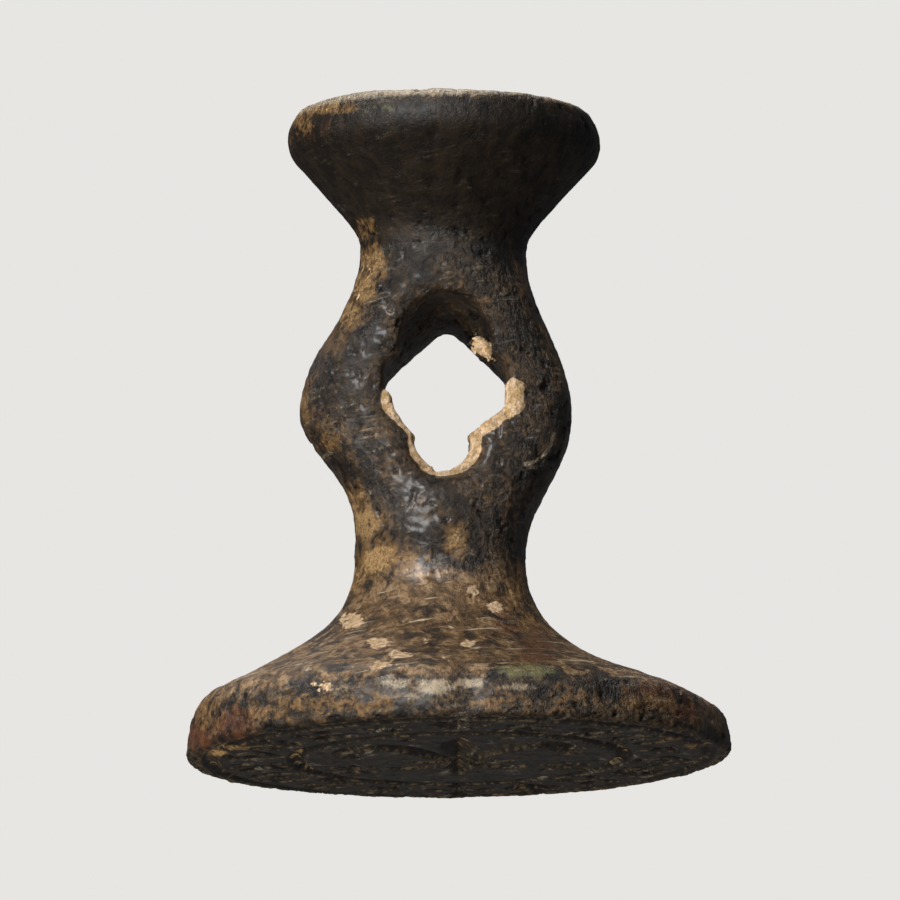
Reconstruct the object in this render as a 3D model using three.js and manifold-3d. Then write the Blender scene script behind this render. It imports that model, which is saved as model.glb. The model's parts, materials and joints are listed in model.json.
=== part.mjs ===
// A double-ended seal matrix of cast copper alloy: a large round die, a bow that a four-lobed hole
// goes through, and a small round die on top. Millimetres, +Z up, the large engraved face at height
// zero with its centre at the origin, and the bow's flat sides facing along Y.
import * as THREE from "three";
import { ConvexGeometry } from "three/addons/geometries/ConvexGeometry.js";
import { mergeVertices } from "three/addons/utils/BufferGeometryUtils.js";
import Module from "manifold-3d";

const wasm = await Module();
wasm.setup();

// The stem's axis stands off the middle of the large die and leans, because the face was filed askew.
const stemLean = THREE.MathUtils.degToRad(1.45);
const stemOffset = -1.05;

// Large die: a level disc, a rounded edge that draws in to a shoulder, and a cone above it that
// sweeps up into the lower neck.
const dieRadius = 14.0;
const dieEdgeBreak = 0.2;
const shoulderRadius = 13.4;
const shoulderHeight = 2.8;
const backAngle = THREE.MathUtils.degToRad(19.8);
const lowerNeckHeight = 10.4;
const lowerNeckRadius = 4.33;

// Bow between the necks, the height of its widest place, and how far it reaches to both sides of the
// stem's axis. Below its widest place it draws in sooner on the left.
const bowLength = 15.65;
const bowWidestHeight = 7.45;
const bowLeftReach = 7.2;
const bowRightReach = 6.62;
const bowHalfThickness = 3.55;
const bowSquareness = 2.5;
const lowerLeftEase = 2;

// Four-lobed hole through the bow: how far above the middle of the bow's length and how far beside
// the stem's axis it stands, its upright lobes, its side lobes and the round of its mouth.
const holeRise = 0.375;
const holeOffset = 0.2;
const uprightLobeRadius = 2.1;
const uprightLobeReach = 4.25;
const sideLobeRadius = 2.25;
const sideLobeReach = 3.4;
const mouthRound = 1.0;
const mouthAngle = THREE.MathUtils.degToRad(55);

// Upper neck, and the small die with the round of its rim.
const upperNeckRadius = 4.23;
const counterHeight = 7.4;
const counterRadius = 8.0;
const counterAngle = THREE.MathUtils.degToRad(48);
const rimRound = 1.4;
const rimInset = 0.75;
const rimHeight = 1.55;

// Ring borders cut into the two faces.
const outerBorderRadius = 12.75;
const innerBorderRadius = 8.4;
const borderWidth = 1.0;
const borderDepth = 0.36;
const counterBorderRadius = 6.95;
const counterBorderWidth = 0.62;
const counterBorderDepth = 0.26;

// Engraving of the two faces: the lily on both and the band of motifs between the ring borders. A
// motif reaches this far above and below its middle.
const lilyReach = 6.5;
const lilyOffset = -0.35;
const counterLilyReach = 5.45;
const motifReach = 1.46;
const bandRadius = 10.6;
const strokeDepthShare = 0.86;

// Strokes of the motifs as chains of [across, up, half width] in shares of the motif's reach. Paired
// chains are cut on both sides of the middle, turned ones stand round it, and a chain of one point is
// a pellet.
const lilyShares = {
  chains: [
    [[0, 1, 0.02], [0, 0.71, 0.13], [0, 0.45, 0.17], [0, 0.11, 0.11], [0, -0.18, 0.06]],
    [[0, -0.28, 0.06], [0, -0.55, 0.12], [0, -0.91, 0.02]],
  ],
  paired: [
    [[0.08, -0.14, 0.06], [0.26, 0.2, 0.1], [0.48, 0.51, 0.15], [0.69, 0.57, 0.17]],
    [[0.69, 0.57, 0.17], [0.86, 0.35, 0.13], [0.88, 0.11, 0.07], [0.75, 0.02, 0.02]],
    [[0.05, -0.31, 0.05], [0.25, -0.49, 0.09], [0.46, -0.54, 0.08], [0.55, -0.43, 0.02]],
    [[0, -0.22, 0.07], [0.38, -0.22, 0.06]],
    [[0.38, 0.92, 0.065]],
  ],
};
const lozengeShares = {
  chains: [[[0, 0, 0.31]]],
  paired: [[[0, 1, 0.16], [0.87, 0, 0.28], [0, -1, 0.16]]],
};
const rosetteShares = {
  turned: [[0, 0.17, 0.12], [0, 0.67, 0.37], [0, 1, 0.23]],
  count: 4,
  first: Math.PI / 4,
};
const sprigShares = {
  chains: [[[0, -1, 0.31], [0, 0.2, 0.13]], [[0, 0.68, 0.37]]],
  paired: [[[0.63, 0.13, 0.33]], [[0.8, -0.93, 0.29], [0.07, -0.6, 0.11]]],
};
const starShares = {
  turned: [[0, 0, 0.28], [0, 1, 0.07]],
  count: 6,
  first: 0,
};
const fleuretShares = {
  chains: [[[0, 1, 0.07], [0, 0.4, 0.32], [0, -0.33, 0.13], [0, -1, 0.29]]],
  paired: [
    [[0.13, -0.33, 0.13], [0.6, 0.4, 0.29], [0.97, -0.07, 0.07]],
    [[0.07, -0.5, 0.12], [0.7, -0.93, 0.23]],
  ],
};
const leafShares = {
  chains: [[[0, -1, 0.09], [0, 1, 0.19]]],
  paired: [
    [[0.03, -0.67, 0.11], [0.73, -0.4, 0.28]],
    [[0.03, -0.2, 0.11], [0.9, 0.23, 0.31]],
    [[0.03, 0.33, 0.11], [0.67, 0.83, 0.25]],
  ],
};
const crescentShares = {
  chains: [[[0, 0, 0.31]]],
  paired: [[[0.2, 1, 0.07], [0.8, 0.4, 0.25], [0.8, -0.4, 0.25], [0.2, -1, 0.07]]],
};
const palmetteShares = {
  chains: [[[0, -0.93, 0.2], [0, 1, 0.27]]],
  paired: [
    [[0.07, -0.8, 0.11], [0.57, 0.8, 0.25]],
    [[0.1, -0.87, 0.11], [0.93, 0.27, 0.24]],
  ],
};
const crossShares = {
  turned: [[0, 0.07, 0.13], [0, 0.47, 0.17], [0, 0.83, 0.44]],
  count: 4,
  first: 0,
};

// The band's motifs in their order round the large face, from +X towards +Y.
const bandShares = [
  lozengeShares, leafShares, rosetteShares, palmetteShares, crossShares, starShares,
  sprigShares, crescentShares, fleuretShares, lozengeShares, leafShares, rosetteShares,
  starShares, palmetteShares, sprigShares, fleuretShares, crescentShares, starShares,
];

// How closely each sweep hugs the corner of its two tangents.
const backTensionShare = 0.78;
const counterTensionShare = 0.97;

// Part of the cone over which its rings move from the disc's middle to the stem's axis.
const settleShare = 0.7;

// One overrun serves all cuts.
const cutOverrun = 1.0;

// Facets of the round and the lofted surfaces.
const turnedSegments = 64;
const sweepSteps = 12;
const roundSteps = 5;
const bowSegments = 48;
const bowSteps = 22;
const lobeSteps = 9;
const strokeSides = 6;

function metal(color, roughness, metalness) {
  return new THREE.MeshStandardMaterial({ color, roughness, metalness });
}

// A closed geometry as a solid that can be joined and cut.
function solidOf(geometry) {
  const bare = geometry.clone();
  bare.deleteAttribute("normal");
  bare.deleteAttribute("uv");
  const merged = mergeVertices(bare, 1e-5);
  const index = new Uint32Array(merged.index.array);
  const kept = [];
  for (let i = 0; i < index.length; i += 3) {
    const [a, b, c] = index.subarray(i, i + 3);
    if (a !== b && b !== c && c !== a) kept.push(a, b, c);
  }
  const mesh = new wasm.Mesh({
    numProp: 3,
    vertProperties: merged.attributes.position.array,
    triVerts: new Uint32Array(kept),
  });
  return new wasm.Manifold(mesh);
}

function geometryOf(solid) {
  const mesh = solid.getMesh();
  const geometry = new THREE.BufferGeometry();
  geometry.setAttribute("position", new THREE.BufferAttribute(mesh.vertProperties, 3));
  geometry.setIndex(new THREE.BufferAttribute(mesh.triVerts, 1));
  return geometry;
}

function named(name, solid, material) {
  const flat = geometryOf(solid).toNonIndexed();
  flat.computeVertexNormals();
  const mesh = new THREE.Mesh(flat, material);
  mesh.name = name;
  return mesh;
}

// Revolves a profile of [radius, height] pairs, from the foot of the axis to its top, round Z.
function revolved(profile) {
  const points = profile.map(([radius, height]) => new THREE.Vector2(radius, height));
  return new THREE.LatheGeometry(points, turnedSegments).rotateX(Math.PI / 2);
}

// Skins a row of rings, all with the same number of points, and closes both ends with flat fans.
function lofted(rings) {
  const count = rings[0].length;
  const points = rings.flat();
  const index = [];
  for (let i = 0; i < rings.length - 1; i++) {
    for (let j = 0; j < count; j++) {
      const a = i * count + j;
      const b = i * count + ((j + 1) % count);
      index.push(a, b, b + count, a, b + count, a + count);
    }
  }
  const last = (rings.length - 1) * count;
  const foot = points.push(middleOf(rings[0])) - 1;
  const top = points.push(middleOf(rings[rings.length - 1])) - 1;
  for (let j = 0; j < count; j++) {
    const next = (j + 1) % count;
    index.push(foot, next, j, top, last + j, last + next);
  }
  const geometry = new THREE.BufferGeometry().setFromPoints(points);
  geometry.setIndex(index);
  return geometry;
}

function middleOf(ring) {
  const sum = ring.reduce((total, point) => total.add(point), new THREE.Vector3());
  return sum.divideScalar(ring.length);
}

// A sweep from a point with an upright tangent to a point whose tangent has the given slope.
function sweep([startRadius, startHeight], [endRadius, endHeight], slope, tensionShare) {
  const start = new THREE.Vector2(startRadius, startHeight);
  const end = new THREE.Vector2(endRadius, endHeight);
  const corner = new THREE.Vector2(startRadius, endHeight - slope * (endRadius - startRadius));
  const nearStart = start.clone().lerp(corner, tensionShare);
  const nearEnd = end.clone().lerp(corner, tensionShare);
  const curve = new THREE.CubicBezierCurve(start, nearStart, nearEnd, end);
  return curve.getPoints(sweepSteps).map((point) => [point.x, point.y]);
}

// A V-shaped ring border as seen in a profile that runs outwards along a face.
function border(radius, faceHeight, width, depth) {
  return [
    [radius - width / 2, faceHeight],
    [radius, faceHeight + depth],
    [radius + width / 2, faceHeight],
  ];
}

// A tapering V-shaped cut between the ends of a stroke, sunk upwards from height zero.
function cut(ends, reach, place) {
  const points = [];
  for (const end of ends) {
    const [x, y, halfWidth] = end.map((share) => share * reach);
    points.push(new THREE.Vector3(x, y, halfWidth * strokeDepthShare));
    const radius = halfWidth + cutOverrun / strokeDepthShare;
    for (let k = 0; k < strokeSides; k++) {
      const angle = (k / strokeSides) * 2 * Math.PI;
      const corner = new THREE.Vector3(radius * Math.cos(angle), radius * Math.sin(angle), 0);
      points.push(corner.add(new THREE.Vector3(x, y, -cutOverrun)));
    }
  }
  return solidOf(new ConvexGeometry(points.map((point) => point.applyMatrix4(place))));
}

function chainCuts(chain, reach, place) {
  if (chain.length === 1) return [cut(chain, reach, place)];
  return chain.slice(1).map((end, i) => cut([chain[i], end], reach, place));
}

// All the cuts of one motif of the given reach.
function motifCuts({ chains = [], paired = [], turned = [], count = 0, first = 0 }, reach, place) {
  const cuts = chains.flatMap((chain) => chainCuts(chain, reach, place));
  const mirrored = place.clone().scale(new THREE.Vector3(-1, 1, 1));
  for (const chain of paired) {
    cuts.push(...chainCuts(chain, reach, place), ...chainCuts(chain, reach, mirrored));
  }
  for (let i = 0; i < count; i++) {
    const turn = new THREE.Matrix4().makeRotationZ(first + (i / count) * 2 * Math.PI);
    cuts.push(...chainCuts(turned, reach, turn.premultiply(place)));
  }
  return cuts;
}

// The band's motifs with their feet towards the middle, and the lily with its head towards -Y.
function faceCuts() {
  const cuts = bandShares.flatMap((motif, i) => {
    const angle = ((i + 0.5) / bandShares.length) * 2 * Math.PI;
    const place = new THREE.Matrix4().makeRotationZ(angle - Math.PI / 2);
    place.multiply(new THREE.Matrix4().makeTranslation(0, bandRadius, 0));
    return motifCuts(motif, motifReach, place);
  });
  const place = new THREE.Matrix4().makeScale(1, -1, 1).setPosition(0, lilyOffset, 0);
  return wasm.Manifold.union([...cuts, ...motifCuts(lilyShares, lilyReach, place)]);
}

function counterCuts() {
  const place = new THREE.Matrix4().makeScale(1, 1, -1).setPosition(0, 0, counterHeight);
  return wasm.Manifold.union(motifCuts(lilyShares, counterLilyReach, place));
}

// A circle of the large die, tipped and moved over by shares of the stem's lean and offset.
function dieRing([radius, height], leanShare, offsetShare) {
  const turn = new THREE.Matrix4().makeRotationY(stemLean * leanShare);
  const ring = [];
  for (let j = 0; j < turnedSegments; j++) {
    const angle = (j / turnedSegments) * 2 * Math.PI;
    const x = radius * Math.cos(angle) + stemOffset * offsetShare;
    ring.push(new THREE.Vector3(x, radius * Math.sin(angle), height).applyMatrix4(turn));
  }
  return ring;
}

// The engraved face, level, with both ring borders.
function faceRings() {
  const inner = border(innerBorderRadius, 0, borderWidth, borderDepth);
  const outer = border(outerBorderRadius, 0, borderWidth, borderDepth);
  return [...inner, ...outer, [dieRadius - dieEdgeBreak, 0]].map((at) => dieRing(at, 0, 0));
}

// The rounded edge, which takes up the stem's lean as it rises to the shoulder.
function edgeRings() {
  const rings = [];
  for (let i = 0; i < roundSteps; i++) {
    const share = i / roundSteps;
    const radius = THREE.MathUtils.lerp(dieRadius, shoulderRadius, share ** 2);
    const height = THREE.MathUtils.lerp(dieEdgeBreak, shoulderHeight, share);
    rings.push(dieRing([radius, height], share, 0));
  }
  return rings;
}

// The flared back, which moves over to the stem's axis on its way up to the neck.
function backRings() {
  const neck = [lowerNeckRadius, lowerNeckHeight];
  const shoulder = [shoulderRadius, shoulderHeight];
  const flare = sweep(neck, shoulder, -Math.tan(backAngle), backTensionShare).reverse();
  const settled = THREE.MathUtils.lerp(shoulderRadius, lowerNeckRadius, settleShare);
  return flare.map(([radius, height]) => {
    const offsetShare = 1 - THREE.MathUtils.smoothstep(radius, settled, shoulderRadius);
    return dieRing([radius, height], 1, offsetShare);
  });
}

function sealDie() {
  const blank = solidOf(lofted([...faceRings(), ...edgeRings(), ...backRings()]));
  return blank.subtract(faceCuts());
}

// Share of the bow's full form at a height: none at the necks, all at its widest.
function bowShare(height) {
  const reach = height < bowWidestHeight ? bowWidestHeight : bowLength - bowWidestHeight;
  const distance = Math.abs(height - bowWidestHeight) / reach;
  return (1 + Math.cos(Math.PI * distance)) / 2;
}

// The bow's section at a height: round at the necks, broad, thin and squarer at its widest.
function bowForm(height) {
  const share = bowShare(height);
  const leftShare = height < bowWidestHeight ? share ** lowerLeftEase : share;
  const neck = THREE.MathUtils.lerp(lowerNeckRadius, upperNeckRadius, height / bowLength);
  const left = THREE.MathUtils.lerp(neck, bowLeftReach, leftShare);
  const right = THREE.MathUtils.lerp(neck, bowRightReach, share);
  return {
    middle: (right - left) / 2,
    halfWidth: (right + left) / 2,
    halfThickness: THREE.MathUtils.lerp(neck, bowHalfThickness, share),
    power: THREE.MathUtils.lerp(2, bowSquareness, share),
  };
}

function bowRing(height) {
  const form = bowForm(height);
  const ring = [];
  for (let j = 0; j < bowSegments; j++) {
    const angle = (j / bowSegments) * 2 * Math.PI;
    const across = Math.sign(Math.cos(angle)) * Math.abs(Math.cos(angle)) ** (2 / form.power);
    const through = Math.sign(Math.sin(angle)) * Math.abs(Math.sin(angle)) ** (2 / form.power);
    const x = form.middle + form.halfWidth * across;
    ring.push(new THREE.Vector3(x, form.halfThickness * through, height));
  }
  return ring;
}

// How far the bow's flat side stands from its middle plane at a place on it.
function bowDepth(x, height) {
  const form = bowForm(height);
  const across = Math.min(1, Math.abs((x - form.middle) / form.halfWidth));
  return form.halfThickness * (1 - across ** form.power) ** (1 / form.power);
}

// Half the angle that each lobe's arc spans, up to the cusps where neighbouring lobes meet.
function lobeAngles(upright, side) {
  const between = Math.hypot(upright.distance, side.distance);
  const along = (between ** 2 + upright.radius ** 2 - side.radius ** 2) / (2 * between);
  const aside = Math.sqrt(upright.radius ** 2 - along ** 2);
  const slope = Math.atan2(side.distance, -upright.distance);
  const x = along * Math.sin(slope) + aside * Math.sin(slope - Math.PI / 2);
  const z = along * Math.cos(slope) + aside * Math.cos(slope - Math.PI / 2);
  const cusp = new THREE.Vector2(x, z + upright.distance);
  return {
    upright: Math.atan2(cusp.x, cusp.y - upright.distance),
    side: Math.atan2(cusp.y, cusp.x - side.distance),
  };
}

// Outline of the hole on one side of the bow, sunk below that side's surface, with its lobes grown.
function holeRing(side, sunk, growth) {
  const upright = { radius: uprightLobeRadius, distance: uprightLobeReach - uprightLobeRadius };
  const aside = { radius: sideLobeRadius, distance: sideLobeReach - sideLobeRadius };
  upright.radius += growth;
  aside.radius += growth;
  const spans = lobeAngles(upright, aside);
  const middle = bowLength / 2 + holeRise;
  const ring = [];
  for (let lobe = 0; lobe < 4; lobe++) {
    const facing = (lobe * Math.PI) / 2;
    const { radius, distance } = lobe % 2 ? aside : upright;
    const span = lobe % 2 ? spans.side : spans.upright;
    for (let k = 0; k < lobeSteps; k++) {
      const angle = facing + span * ((2 * k) / lobeSteps - 1);
      const x = holeOffset + distance * Math.sin(facing) + radius * Math.sin(angle);
      const z = middle + distance * Math.cos(facing) + radius * Math.cos(angle);
      ring.push(new THREE.Vector3(x, side * (bowDepth(x, z) - sunk), z));
    }
  }
  return ring;
}

// The hole as a tool: straight through the middle, rounded outwards at both mouths along the bow's
// own surface, and run on past them.
function holeTool() {
  const steps = [];
  for (let i = 0; i <= roundSteps; i++) {
    const angle = (i / roundSteps) * mouthAngle;
    const sunk = mouthRound * (Math.sin(mouthAngle) - Math.sin(angle));
    steps.push({ sunk, growth: mouthRound * (1 - Math.cos(angle)) });
  }
  const grown = steps[roundSteps].growth + cutOverrun * Math.tan(mouthAngle);
  steps.push({ sunk: -cutOverrun, growth: grown });
  const far = steps.map(({ sunk, growth }) => holeRing(1, sunk, growth));
  const near = steps.map(({ sunk, growth }) => holeRing(-1, sunk, growth)).reverse();
  return lofted([...near, ...far]);
}

function piercedHandle() {
  const rings = [];
  for (let i = 0; i <= bowSteps; i++) rings.push(bowRing((i / bowSteps) * bowLength));
  return solidOf(lofted(rings)).subtract(solidOf(holeTool()));
}

// The small die: a sweep out of the upper neck, a rim that is tight below and long above, and a
// flat face with one ring border.
function countersealDie() {
  const widest = counterHeight - rimHeight;
  const rim = [];
  for (let i = 0; i <= roundSteps; i++) {
    const angle = (counterAngle - Math.PI / 2) * (1 - i / roundSteps);
    const radius = counterRadius - rimRound * (1 - Math.cos(angle));
    rim.push([radius, widest + rimRound * Math.sin(angle)]);
  }
  for (let i = 1; i <= roundSteps; i++) {
    const angle = (i / roundSteps) * (Math.PI / 2);
    const radius = counterRadius - rimInset * (1 - Math.cos(angle));
    rim.push([radius, widest + rimHeight * Math.sin(angle)]);
  }
  const flare = sweep([upperNeckRadius, 0], rim[0], Math.tan(counterAngle), counterTensionShare);
  const across = [counterBorderRadius, counterHeight, counterBorderWidth, -counterBorderDepth];
  const ring = border(...across).reverse();
  const blank = solidOf(revolved([[0, 0], ...flare, ...rim.slice(1), ...ring, [0, counterHeight]]));
  return blank.subtract(counterCuts());
}

const sealMatrix = new THREE.Group();
const lean = new THREE.Group();
lean.rotation.y = stemLean;
sealMatrix.add(lean);
const stem = new THREE.Group();
stem.position.x = stemOffset;
lean.add(stem);

sealMatrix.add(named("seal_die", sealDie(), metal(0x4a4338, 0.62, 0.55)));

const handle = named("pierced_handle", piercedHandle(), metal(0x5a4c3a, 0.68, 0.45));
handle.position.z = lowerNeckHeight;
stem.add(handle);

const counterseal = named("counterseal_die", countersealDie(), metal(0x443f39, 0.6, 0.55));
counterseal.position.z = lowerNeckHeight + bowLength;
stem.add(counterseal);

export default sealMatrix;
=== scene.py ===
# A double-ended seal matrix in old bronze: an engraved die, a pierced bow and a small die on top.
# Shapes are made in millimetres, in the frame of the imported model, and turned to metres at the end.
import json
import math

import bmesh
import bpy
import numpy as np
from mathutils import Matrix, Vector

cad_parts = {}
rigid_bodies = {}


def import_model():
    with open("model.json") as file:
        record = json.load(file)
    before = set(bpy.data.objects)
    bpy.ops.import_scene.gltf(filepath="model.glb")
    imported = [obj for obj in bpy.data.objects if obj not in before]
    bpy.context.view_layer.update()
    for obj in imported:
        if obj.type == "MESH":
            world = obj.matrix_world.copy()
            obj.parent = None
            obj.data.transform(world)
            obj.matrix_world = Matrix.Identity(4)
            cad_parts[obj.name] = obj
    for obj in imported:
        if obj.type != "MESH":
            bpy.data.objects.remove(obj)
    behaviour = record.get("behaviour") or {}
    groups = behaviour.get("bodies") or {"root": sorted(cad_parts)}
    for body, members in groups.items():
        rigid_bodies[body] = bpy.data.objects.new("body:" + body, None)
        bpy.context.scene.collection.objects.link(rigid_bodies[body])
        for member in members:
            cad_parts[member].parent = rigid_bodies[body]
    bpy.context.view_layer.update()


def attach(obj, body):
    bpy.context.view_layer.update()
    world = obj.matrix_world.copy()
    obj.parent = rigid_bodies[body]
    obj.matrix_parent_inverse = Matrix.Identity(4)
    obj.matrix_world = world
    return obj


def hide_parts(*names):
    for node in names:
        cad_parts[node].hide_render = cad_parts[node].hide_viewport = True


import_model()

# What all the pieces share. The stem leans because the large face was filed askew.
casting = {
    "leanDegrees": 1.45,
    "offset": -1.05,
    "lowerNeckHeight": 10.4,
    "lowerNeckRadius": 4.33,
    "upperNeckRadius": 4.23,
    "bowLength": 15.65,
    "seamOverlap": 0.7,     # how far each piece is made past its seam before it is trimmed
    "seamFirst": 0.12,
    "seamRows": 6,
    "broadDent": 0.2,       # depth of the skin's slow dents
    "skinDent": 0.17,       # depth of its dimples, as wide as a grain of rice
    "skinGrain": 0.08,      # depth of its finest grain
    "skinPit": 0.14,        # depth of its sparse pits
    "broadNoise": (0.21, 1.0),
    "dentNoise": (0.8, 3.0, 0.55, 0.3),
    "grainNoise": (2.6, 3.0, 0.6),
    "pitNoise": (1.15, 4.0, 0.6, 0.5),
    "pitFade": (0.57, 0.7),
    "seed": 4.0,
}
studio = {
    "backdrop": (0.80, 0.79, 0.77, 1.0),
    "ambient": (0.15, 0.15, 0.155, 1.0),
    "mirrored": (0.06, 0.06, 0.062, 1.0),
    "paper": ((0.70, 0.69, 0.67, 1.0), (0.74, 0.73, 0.71, 1.0)),
    "paperTooth": 900.0,
    "floorHalf": 2.0,
    "floorDrop": -0.00005,
    "floorFade": (0.085, 0.03),     # the floor fades into the backdrop between these distances
    "frameWidth": 0.046,            # how much of the scene the picture takes in
    "distance": 0.75,
    "elevation": -10.0,
    "rollDegrees": 0.9,
    "aim": (-0.0002, 0.0, 0.0160),
    "lampAim": (0.0, 0.0, 0.016),
}
millimetre = 0.001
upperNeckHeight = casting["lowerNeckHeight"] + casting["bowLength"]


def stemMatrix(height):
    lean = Matrix.Rotation(math.radians(casting["leanDegrees"]), 4, "Y")
    return lean @ Matrix.Translation((casting["offset"], 0, height))


def smooth(value, low, high):
    share = np.clip((value - low) / (high - low), 0, 1)
    return share * share * (3 - 2 * share)


def mixed(start, end, share):
    return start + (end - start) * share


# One output of a node, with the operators that the expressions below use.
class Wire:
    def __init__(self, graph, port):
        self.graph = graph
        self.port = port

    def calc(self, operation, *others):
        return self.graph.add("ShaderNodeMath", {"operation": operation}, [self, *others])

    def __add__(self, other):
        return self.calc("ADD", other)

    __radd__ = __add__

    def __sub__(self, other):
        return self.calc("SUBTRACT", other)

    def __rsub__(self, other):
        return self.graph.add("ShaderNodeMath", {"operation": "SUBTRACT"}, [other, self])

    def __mul__(self, other):
        return self.calc("MULTIPLY", other)

    __rmul__ = __mul__

    def __truediv__(self, other):
        return self.calc("DIVIDE", other)

    def __rtruediv__(self, other):
        return self.graph.add("ShaderNodeMath", {"operation": "DIVIDE"}, [other, self])

    def __pow__(self, other):
        return self.calc("POWER", other)

    def __neg__(self):
        return self.calc("MULTIPLY", -1.0)

    def __abs__(self):
        return self.calc("ABSOLUTE")


class Graph:
    def __init__(self, tree):
        self.tree = tree

    # Any node: its settings come first, then the values or wires of its sockets.
    def node(self, kind, settings=None, values=None):
        made = self.tree.nodes.new(kind)
        for name, value in (settings or {}).items():
            setattr(made, name, value)
        pairs = values.items() if isinstance(values, dict) else enumerate(values or [])
        for socket, value in pairs:
            if isinstance(value, Wire):
                self.tree.links.new(value.port, made.inputs[socket])
            elif value is not None:
                made.inputs[socket].default_value = value
        return made

    def add(self, kind, settings=None, values=None, out=0):
        return Wire(self, self.node(kind, settings, values).outputs[out])

    def vector(self, operation, *values, out=0):
        return self.add("ShaderNodeVectorMath", {"operation": operation}, values, out)

    def scaled(self, vector, factor):
        return self.add("ShaderNodeVectorMath", {"operation": "SCALE"}, {0: vector, "Scale": factor})

    def split(self, vector):
        parts = self.node("ShaderNodeSeparateXYZ", None, [vector])
        return [Wire(self, port) for port in parts.outputs]

    def join(self, x, y, z):
        return self.add("ShaderNodeCombineXYZ", None, [x, y, z])

    def noise(self, place, scale, detail=2.0, roughness=0.5, distortion=0.0):
        values = {"Vector": place, "Scale": scale, "Detail": detail,
                  "Roughness": roughness, "Distortion": distortion}
        return self.add("ShaderNodeTexNoise", None, values)

    # A smooth step from 0 at low to 1 at high, or the other way round where low is above high.
    def step(self, value, low, high):
        values = {"Value": value, "From Min": low, "From Max": high}
        return self.add("ShaderNodeMapRange", {"interpolation_type": "SMOOTHSTEP"}, values)

    def mixValue(self, factor, start, end):
        return self.add("ShaderNodeMix", {"data_type": "FLOAT"}, {0: factor, 2: start, 3: end})

    def mixColour(self, factor, start, end):
        return self.add("ShaderNodeMix", {"data_type": "RGBA"}, {0: factor, 6: start, 7: end}, out=2)

    # Lays one of the patina's colours over another colour.
    def lay(self, under, name, share):
        return self.mixColour(share, under, patina[name])


# A Geometry Nodes tree with named inputs, given as name: (socket type, first value).
class Shaper(Graph):
    def __init__(self, name, inputs, hasMesh=True):
        super().__init__(bpy.data.node_groups.new(name, "GeometryNodeTree"))
        sockets = self.tree.interface
        if hasMesh:
            sockets.new_socket("Mesh", in_out="INPUT", socket_type="NodeSocketGeometry")
        for title, (kind, value) in inputs.items():
            socket = sockets.new_socket(title, in_out="INPUT", socket_type="NodeSocket" + kind)
            if value is not None:
                socket.default_value = value
        sockets.new_socket("Mesh", in_out="OUTPUT", socket_type="NodeSocketGeometry")
        self.given = self.tree.nodes.new("NodeGroupInput")
        self.place = self.add("GeometryNodeInputPosition")

    def __getitem__(self, title):
        return Wire(self, self.given.outputs[title])

    def store(self, mesh, name, value):
        settings = {"data_type": "FLOAT", "domain": "POINT"}
        values = {"Geometry": mesh, "Name": name, "Value": value}
        return self.add("GeometryNodeStoreNamedAttribute", settings, values)

    def named(self, name):
        return self.add("GeometryNodeInputNamedAttribute", {"data_type": "FLOAT"}, {"Name": name})

    # Every tree ends the same way: instances made real, and a material set.
    def close(self, mesh, material):
        real = self.add("GeometryNodeRealizeInstances", None, [mesh])
        dressed = self.add("GeometryNodeSetMaterial", None, {"Geometry": real, "Material": material})
        self.node("NodeGroupOutput", None, [dressed])

    # Runs the tree on an object and gives back the plain mesh that it makes.
    def run(self, target, values=None):
        modifier = target.modifiers.new("shape", "NODES")
        modifier.node_group = self.tree
        for item in self.tree.interface.items_tree:
            if item.in_out == "INPUT" and item.name in (values or {}):
                modifier[item.identifier] = values[item.name]
        graph = bpy.context.evaluated_depsgraph_get()
        ready = target.evaluated_get(graph)
        mesh = bpy.data.meshes.new_from_object(ready, preserve_all_data_layers=True, depsgraph=graph)
        target.modifiers.clear()
        bpy.data.objects.remove(target)
        return mesh


def newObject(name, mesh):
    made = bpy.data.objects.new(name, mesh)
    bpy.context.scene.collection.objects.link(made)
    return made


def meshOf(name, points, faces, edges=()):
    mesh = bpy.data.meshes.new(name)
    mesh.from_pydata(points, edges, faces)
    return mesh


def setAttribute(mesh, name, values):
    layer = mesh.attributes.get(name) or mesh.attributes.new(name, "FLOAT", "POINT")
    layer.data.foreach_set("value", np.asarray(values, dtype=np.float32))


def getAttribute(mesh, name):
    values = np.empty(len(mesh.vertices), dtype=np.float32)
    mesh.attributes[name].data.foreach_get("value", values)
    return values


def pointsOf(mesh):
    points = np.empty(len(mesh.vertices) * 3)
    mesh.vertices.foreach_get("co", points)
    return points.reshape(-1, 3)


# A colour as a colour picker shows it, for a node's socket.
def colour(*levels):
    shares = [level / 255 for level in levels]
    return (*(s / 12.92 if s <= 0.04045 else ((s + 0.055) / 1.055) ** 2.4 for s in shares), 1.0)


# Colours of the patina and of painted shade, dark to pale.
patina = {name: colour(*levels) for name, levels in {
    "black": (22, 17, 12), "ink": (32, 29, 25), "soot": (36, 28, 20), "umber": (50, 39, 27),
    "slate": (54, 47, 38), "drab": (58, 47, 35), "rust": (100, 58, 32), "bronze": (88, 68, 45),
    "ash": (106, 88, 65), "ochre": (132, 100, 64), "gold": (138, 103, 58), "moss": (118, 118, 76),
    "tan": (166, 138, 103), "brass": (182, 149, 100), "glint": (196, 178, 150), "sand": (224, 192, 156),
}.items()}


def emptyGraph(owner):
    owner.use_nodes = True
    owner.node_tree.nodes.clear()
    return Graph(owner.node_tree)


# The patina's patterns, coarse to fine: scale, detail, roughness and distortion of their noise.
patterns = {
    "broad": (0.5, 4.0, 0.55, 0.0),
    "cloud": (1.1, 6.0, 0.62, 0.5),
    "speck": (3.1, 5.0, 0.62, 0.4),
    "grain": (9.5, 4.0, 0.65, 0.0),
}


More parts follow.
